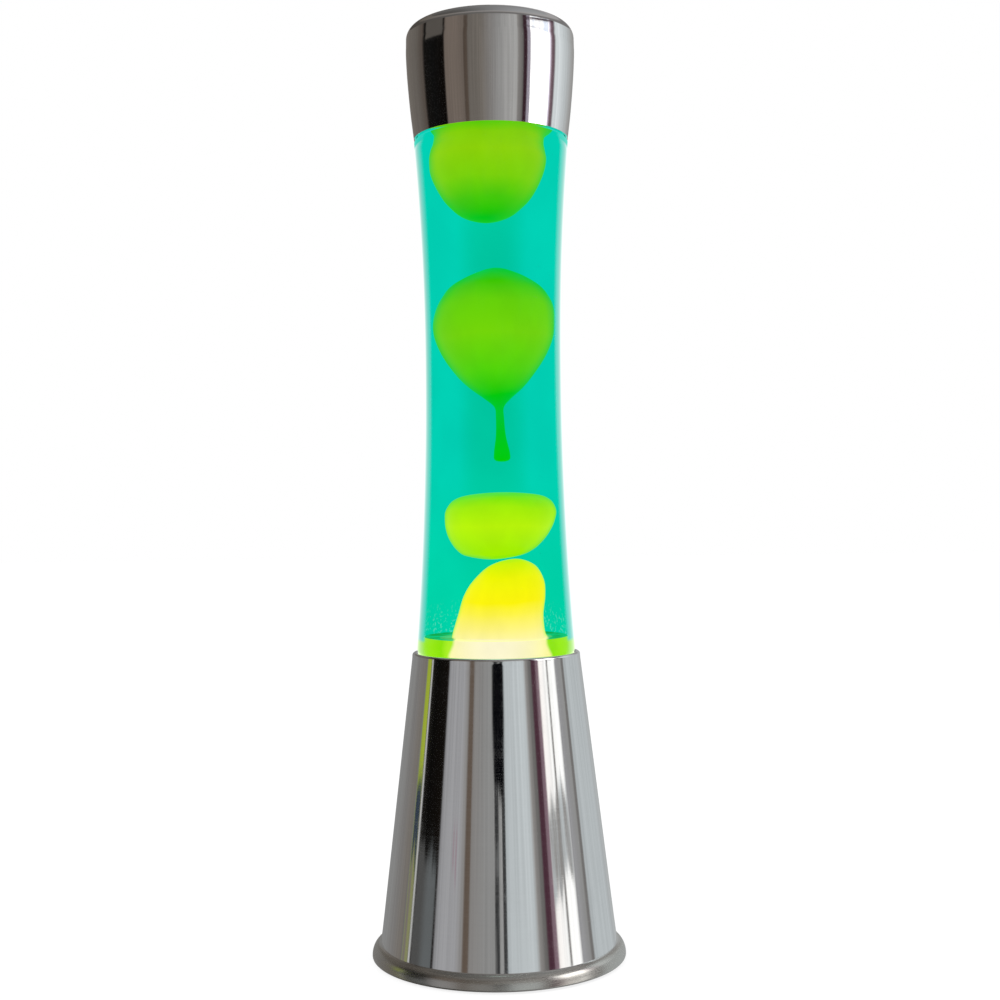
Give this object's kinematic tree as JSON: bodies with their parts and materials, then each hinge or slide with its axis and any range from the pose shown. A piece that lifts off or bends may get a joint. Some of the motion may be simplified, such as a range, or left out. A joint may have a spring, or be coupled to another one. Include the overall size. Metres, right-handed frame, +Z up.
{
  "type": "lava lamp",
  "caption": "Motion lamp: hourglass bottle of tinted liquid and rising wax under a polished metal cap, on a tapered polished metal base with a reflector bulb inside.",
  "frame": {"origin": "centre of the plane the lamp stands on, on the lamp's axis", "axes": "+Z up along the lamp's axis, -Y towards the viewer in front, +Y to the rear where the cord leaves"},
  "size_m": [0.1092, 0.2596, 0.4],
  "materials": {
    "polished_metal": "mirror polished, spun",
    "bottle_glass": "clear, gloss",
    "teal_liquid": "clear tinted liquid",
    "wax": "glowing molten wax, yellow low down to green at the top",
    "steel": "plain",
    "brass": "plain",
    "closure_metal": "tinplate",
    "liner": "matt",
    "black_plastic": "fine moulded texture",
    "foam": "matt foam",
    "bulb_glass": "clear",
    "brown_wire": "satin",
    "blue_wire": "satin"
  },
  "bodies": {
    "base": {"base_shell": "polished_metal", "bottom_cover": "black_plastic", "foot_pad_center": "foam", "foot_pad_1": "foam", "foot_pad_2": "foam", "foot_pad_3": "foam", "holder_bracket": "steel", "bracket_screw_1": "steel", "bracket_screw_2": "steel", "holder_body": "black_plastic", "holder_nut": "steel", "holder_sleeve": "brass", "holder_contact": "brass", "live_wire": "brown_wire", "neutral_wire": "blue_wire", "cord_clamp": "steel", "clamp_screw_1": "steel", "clamp_screw_2": "steel", "cord_grommet": "black_plastic", "cord_long": "black_plastic", "cord_short": "black_plastic", "switch_case_top": "black_plastic", "switch_case_bottom": "black_plastic", "switch_screw_1": "steel", "switch_screw_2": "steel", "switch_terminal_1": "brass", "switch_terminal_2": "brass", "plug_body": "black_plastic", "plug_pin_1": "brass", "plug_pin_2": "brass"},
    "bottle": {"bottle": "bottle_glass", "liquid": "teal_liquid", "wax_mound": "wax", "heating_coil": "steel", "closure": "closure_metal", "closure_liner": "liner"},
    "cap": {"cap": "polished_metal"},
    "bulb": {"bulb_envelope": "bulb_glass", "bulb_screw_shell": "brass", "bulb_insulator": "black_plastic", "bulb_tip": "steel", "bulb_stem": "bulb_glass", "bulb_lead_1": "steel", "bulb_lead_2": "steel", "bulb_filament": "steel"},
    "switch_rocker": {"switch_rocker": "black_plastic"},
    "wax_top": {"wax_top": "wax"},
    "wax_balloon": {"wax_balloon": "wax"},
    "wax_low": {"wax_low": "wax"}
  },
  "joints": [
    {"name": "bottle_lift", "type": "slide", "parent": "base", "child": "bottle", "axis": [0, 0, 1], "range_m": [0, 0.05]},
    {"name": "cap_lift", "type": "slide", "parent": "bottle", "child": "cap", "axis": [0, 0, 1], "range_m": [0, 0.05]},
    {"name": "bulb_turn", "type": "hinge", "parent": "base", "child": "bulb", "pos_m": [0, 0, 0.0266], "axis": [0, 0, 1], "range_deg": [0, 1080]},
    {"name": "rocker_tilt", "type": "hinge", "parent": "base", "child": "switch_rocker", "pos_m": [-0.002, 0.158, 0.0164], "axis": [0, -1, 0], "range_deg": [0, 20]},
    {"name": "wax_top_sink", "type": "slide", "parent": "bottle", "child": "wax_top", "axis": [0, 0, -1], "range_m": [0, 0.006], "deforming": ["liquid"]},
    {"name": "wax_balloon_rise", "type": "slide", "parent": "bottle", "child": "wax_balloon", "axis": [0, 0, 1], "range_m": [0, 0.012], "deforming": ["liquid"]},
    {"name": "wax_low_rise", "type": "slide", "parent": "bottle", "child": "wax_low", "axis": [0, 0, 1], "range_m": [0, 0.01], "deforming": ["liquid"]}
  ]
}
